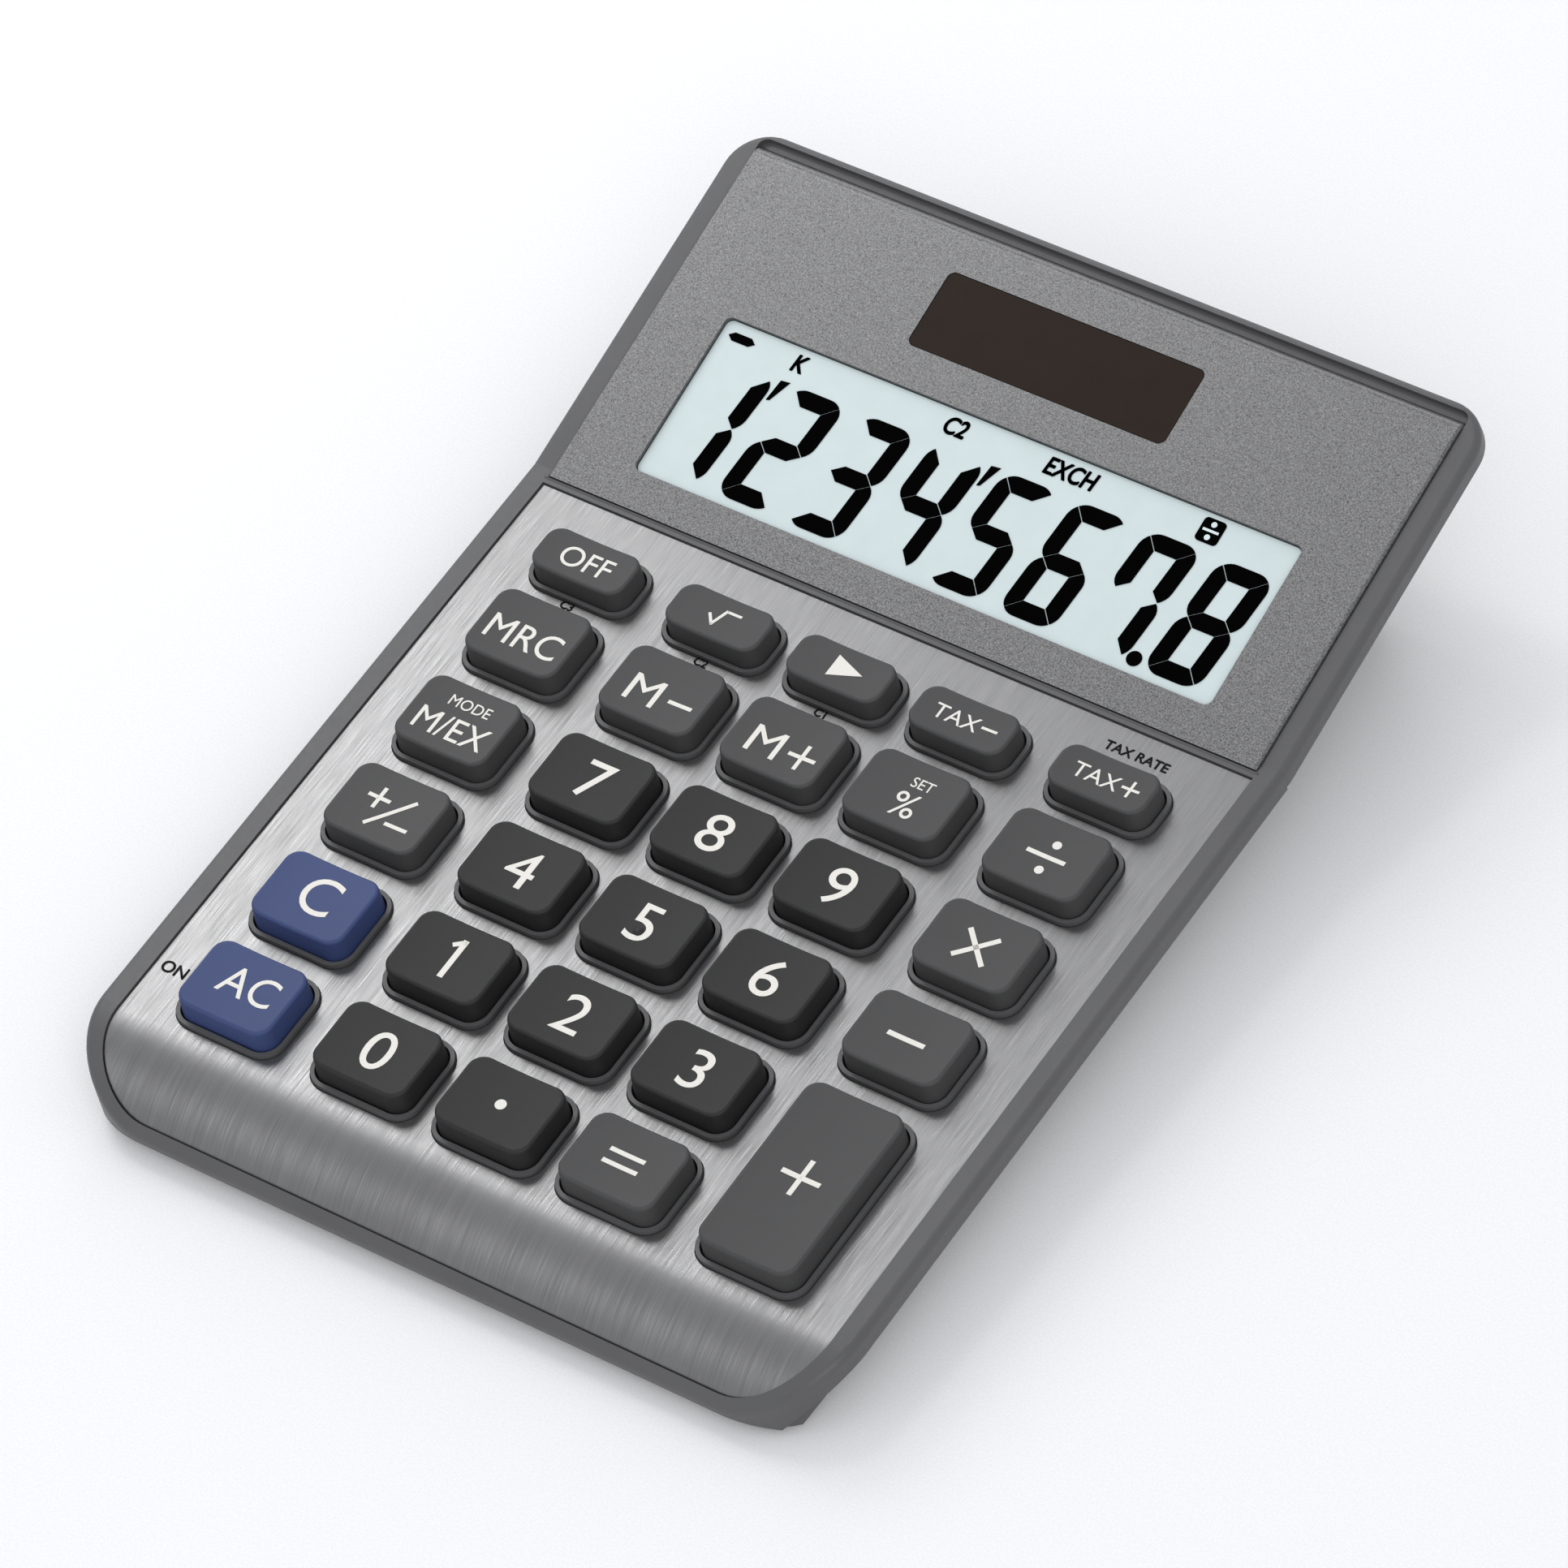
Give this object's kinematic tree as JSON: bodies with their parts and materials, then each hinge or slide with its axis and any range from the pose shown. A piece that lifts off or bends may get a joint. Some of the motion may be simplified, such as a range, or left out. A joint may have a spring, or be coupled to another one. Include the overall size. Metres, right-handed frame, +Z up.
{
  "type": "desk calculator",
  "caption": "Wedge-shaped desk calculator with a brushed face plate, raised keys in collars, a tilted screen with a solar window, and a battery hatch underneath.",
  "frame": {"origin": "on the table under the middle of the object, at the underside of the rubber feet", "axes": "+X to the user's right, +Y away from the user towards the screen end, +Z up"},
  "size_m": [0.103, 0.1445, 0.0282],
  "materials": {
    "casing_plastic": "fine textured satin",
    "brushed_plate": "brushed along the length, anodised grey",
    "bezel_paint": "metallic speckle lacquer",
    "screen_film": "satin",
    "screen_glass": "clear",
    "screen_mirror": "satin reflector",
    "holder_plastic": "satin",
    "solar_cell": "smooth dark",
    "ribbon_film": "satin film",
    "mat_silicone": "matte silicone",
    "board_laminate": "solder resist",
    "chip_resin": "gloss resin",
    "capacitor": "sleeved",
    "cell_steel": "polished",
    "contact_steel": "plain",
    "lead_sleeve": "sleeved wire",
    "screw_steel": "zinc plated",
    "foot_rubber": "matte",
    "cover_plastic": "fine textured satin",
    "blue_key": "satin moulded",
    "digit_key": "satin moulded",
    "function_key": "satin moulded"
  },
  "bodies": {
    "base": {"upper_casing": "casing_plastic", "lower_casing": "casing_plastic", "face_plate": "brushed_plate", "display_bezel": "bezel_paint", "screen_film": "screen_film", "screen_glass": "screen_glass", "screen_mirror": "screen_mirror", "screen_holder": "holder_plastic", "solar_cell": "solar_cell", "screen_ribbon": "ribbon_film", "keypad_mat": "mat_silicone", "main_board": "board_laminate", "chip_resin": "chip_resin", "supply_capacitor": "capacitor", "button_cell": "cell_steel", "contact_minus": "contact_steel", "contact_plus": "contact_steel", "solar_leads": "lead_sleeve", "battery_leads": "lead_sleeve", "casing_screws": "screw_steel", "rubber_feet": "foot_rubber"},
    "battery_hatch": {"battery_cover": "cover_plastic", "cover_screw": "screw_steel"},
    "key_ac": {"key_ac": "blue_key"},
    "key_0": {"key_0": "digit_key"},
    "key_point": {"key_point": "digit_key"},
    "key_equals": {"key_equals": "function_key"},
    "key_plus": {"key_plus": "function_key"},
    "key_c": {"key_c": "blue_key"},
    "key_1": {"key_1": "digit_key"},
    "key_2": {"key_2": "digit_key"},
    "key_3": {"key_3": "digit_key"},
    "key_sign": {"key_sign": "function_key"},
    "key_4": {"key_4": "digit_key"},
    "key_5": {"key_5": "digit_key"},
    "key_6": {"key_6": "digit_key"},
    "key_minus": {"key_minus": "function_key"},
    "key_mode": {"key_mode": "function_key"},
    "key_7": {"key_7": "digit_key"},
    "key_8": {"key_8": "digit_key"},
    "key_9": {"key_9": "digit_key"},
    "key_times": {"key_times": "function_key"},
    "key_recall": {"key_recall": "function_key"},
    "key_memory_minus": {"key_memory_minus": "function_key"},
    "key_memory_plus": {"key_memory_plus": "function_key"},
    "key_percent": {"key_percent": "function_key"},
    "key_divide": {"key_divide": "function_key"},
    "key_off": {"key_off": "function_key"},
    "key_root": {"key_root": "function_key"},
    "key_back": {"key_back": "function_key"},
    "key_tax_minus": {"key_tax_minus": "function_key"},
    "key_tax_plus": {"key_tax_plus": "function_key"}
  },
  "joints": [
    {"name": "press_ac", "type": "slide", "parent": "base", "child": "key_ac", "axis": [0, -0.061, 0.9981], "range_m": [-0.001, 0], "stiffness_N_per_m": 200, "springref_m": 0.0015, "deforming": ["keypad_mat"]},
    {"name": "press_0", "type": "slide", "parent": "base", "child": "key_0", "axis": [0, -0.061, 0.9981], "range_m": [-0.001, 0], "stiffness_N_per_m": 200, "springref_m": 0.0015, "deforming": ["keypad_mat"]},
    {"name": "press_point", "type": "slide", "parent": "base", "child": "key_point", "axis": [0, -0.061, 0.9981], "range_m": [-0.001, 0], "stiffness_N_per_m": 200, "springref_m": 0.0015, "deforming": ["keypad_mat"]},
    {"name": "press_equals", "type": "slide", "parent": "base", "child": "key_equals", "axis": [0, -0.061, 0.9981], "range_m": [-0.001, 0], "stiffness_N_per_m": 200, "springref_m": 0.0015, "deforming": ["keypad_mat"]},
    {"name": "press_plus", "type": "slide", "parent": "base", "child": "key_plus", "axis": [0, -0.061, 0.9981], "range_m": [-0.001, 0], "stiffness_N_per_m": 200, "springref_m": 0.0015, "deforming": ["keypad_mat"]},
    {"name": "press_c", "type": "slide", "parent": "base", "child": "key_c", "axis": [0, -0.061, 0.9981], "range_m": [-0.001, 0], "stiffness_N_per_m": 200, "springref_m": 0.0015, "deforming": ["keypad_mat"]},
    {"name": "press_1", "type": "slide", "parent": "base", "child": "key_1", "axis": [0, -0.061, 0.9981], "range_m": [-0.001, 0], "stiffness_N_per_m": 200, "springref_m": 0.0015, "deforming": ["keypad_mat"]},
    {"name": "press_2", "type": "slide", "parent": "base", "child": "key_2", "axis": [0, -0.061, 0.9981], "range_m": [-0.001, 0], "stiffness_N_per_m": 200, "springref_m": 0.0015, "deforming": ["keypad_mat"]},
    {"name": "press_3", "type": "slide", "parent": "base", "child": "key_3", "axis": [0, -0.061, 0.9981], "range_m": [-0.001, 0], "stiffness_N_per_m": 200, "springref_m": 0.0015, "deforming": ["keypad_mat"]},
    {"name": "press_sign", "type": "slide", "parent": "base", "child": "key_sign", "axis": [0, -0.061, 0.9981], "range_m": [-0.001, 0], "stiffness_N_per_m": 200, "springref_m": 0.0015, "deforming": ["keypad_mat"]},
    {"name": "press_4", "type": "slide", "parent": "base", "child": "key_4", "axis": [0, -0.061, 0.9981], "range_m": [-0.001, 0], "stiffness_N_per_m": 200, "springref_m": 0.0015, "deforming": ["keypad_mat"]},
    {"name": "press_5", "type": "slide", "parent": "base", "child": "key_5", "axis": [0, -0.061, 0.9981], "range_m": [-0.001, 0], "stiffness_N_per_m": 200, "springref_m": 0.0015, "deforming": ["keypad_mat"]},
    {"name": "press_6", "type": "slide", "parent": "base", "child": "key_6", "axis": [0, -0.061, 0.9981], "range_m": [-0.001, 0], "stiffness_N_per_m": 200, "springref_m": 0.0015, "deforming": ["keypad_mat"]},
    {"name": "press_minus", "type": "slide", "parent": "base", "child": "key_minus", "axis": [0, -0.061, 0.9981], "range_m": [-0.001, 0], "stiffness_N_per_m": 200, "springref_m": 0.0015, "deforming": ["keypad_mat"]},
    {"name": "press_mode", "type": "slide", "parent": "base", "child": "key_mode", "axis": [0, -0.061, 0.9981], "range_m": [-0.001, 0], "stiffness_N_per_m": 200, "springref_m": 0.0015, "deforming": ["keypad_mat"]},
    {"name": "press_7", "type": "slide", "parent": "base", "child": "key_7", "axis": [0, -0.061, 0.9981], "range_m": [-0.001, 0], "stiffness_N_per_m": 200, "springref_m": 0.0015, "deforming": ["keypad_mat"]},
    {"name": "press_8", "type": "slide", "parent": "base", "child": "key_8", "axis": [0, -0.061, 0.9981], "range_m": [-0.001, 0], "stiffness_N_per_m": 200, "springref_m": 0.0015, "deforming": ["keypad_mat"]},
    {"name": "press_9", "type": "slide", "parent": "base", "child": "key_9", "axis": [0, -0.061, 0.9981], "range_m": [-0.001, 0], "stiffness_N_per_m": 200, "springref_m": 0.0015, "deforming": ["keypad_mat"]},
    {"name": "press_times", "type": "slide", "parent": "base", "child": "key_times", "axis": [0, -0.061, 0.9981], "range_m": [-0.001, 0], "stiffness_N_per_m": 200, "springref_m": 0.0015, "deforming": ["keypad_mat"]},
    {"name": "press_recall", "type": "slide", "parent": "base", "child": "key_recall", "axis": [0, -0.061, 0.9981], "range_m": [-0.001, 0], "stiffness_N_per_m": 200, "springref_m": 0.0015, "deforming": ["keypad_mat"]},
    {"name": "press_memory_minus", "type": "slide", "parent": "base", "child": "key_memory_minus", "axis": [0, -0.061, 0.9981], "range_m": [-0.001, 0], "stiffness_N_per_m": 200, "springref_m": 0.0015, "deforming": ["keypad_mat"]},
    {"name": "press_memory_plus", "type": "slide", "parent": "base", "child": "key_memory_plus", "axis": [0, -0.061, 0.9981], "range_m": [-0.001, 0], "stiffness_N_per_m": 200, "springref_m": 0.0015, "deforming": ["keypad_mat"]},
    {"name": "press_percent", "type": "slide", "parent": "base", "child": "key_percent", "axis": [0, -0.061, 0.9981], "range_m": [-0.001, 0], "stiffness_N_per_m": 200, "springref_m": 0.0015, "deforming": ["keypad_mat"]},
    {"name": "press_divide", "type": "slide", "parent": "base", "child": "key_divide", "axis": [0, -0.061, 0.9981], "range_m": [-0.001, 0], "stiffness_N_per_m": 200, "springref_m": 0.0015, "deforming": ["keypad_mat"]},
    {"name": "press_off", "type": "slide", "parent": "base", "child": "key_off", "axis": [0, -0.061, 0.9981], "range_m": [-0.001, 0], "stiffness_N_per_m": 200, "springref_m": 0.0015, "deforming": ["keypad_mat"]},
    {"name": "press_root", "type": "slide", "parent": "base", "child": "key_root", "axis": [0, -0.061, 0.9981], "range_m": [-0.001, 0], "stiffness_N_per_m": 200, "springref_m": 0.0015, "deforming": ["keypad_mat"]},
    {"name": "press_back", "type": "slide", "parent": "base", "child": "key_back", "axis": [0, -0.061, 0.9981], "range_m": [-0.001, 0], "stiffness_N_per_m": 200, "springref_m": 0.0015, "deforming": ["keypad_mat"]},
    {"name": "press_tax_minus", "type": "slide", "parent": "base", "child": "key_tax_minus", "axis": [0, -0.061, 0.9981], "range_m": [-0.001, 0], "stiffness_N_per_m": 200, "springref_m": 0.0015, "deforming": ["keypad_mat"]},
    {"name": "press_tax_plus", "type": "slide", "parent": "base", "child": "key_tax_plus", "axis": [0, -0.061, 0.9981], "range_m": [-0.001, 0], "stiffness_N_per_m": 200, "springref_m": 0.0015, "deforming": ["keypad_mat"]},
    {"name": "hatch_lift", "type": "slide", "parent": "base", "child": "battery_hatch", "axis": [0, 0, -1], "range_m": [0, 0.02]}
  ]
}
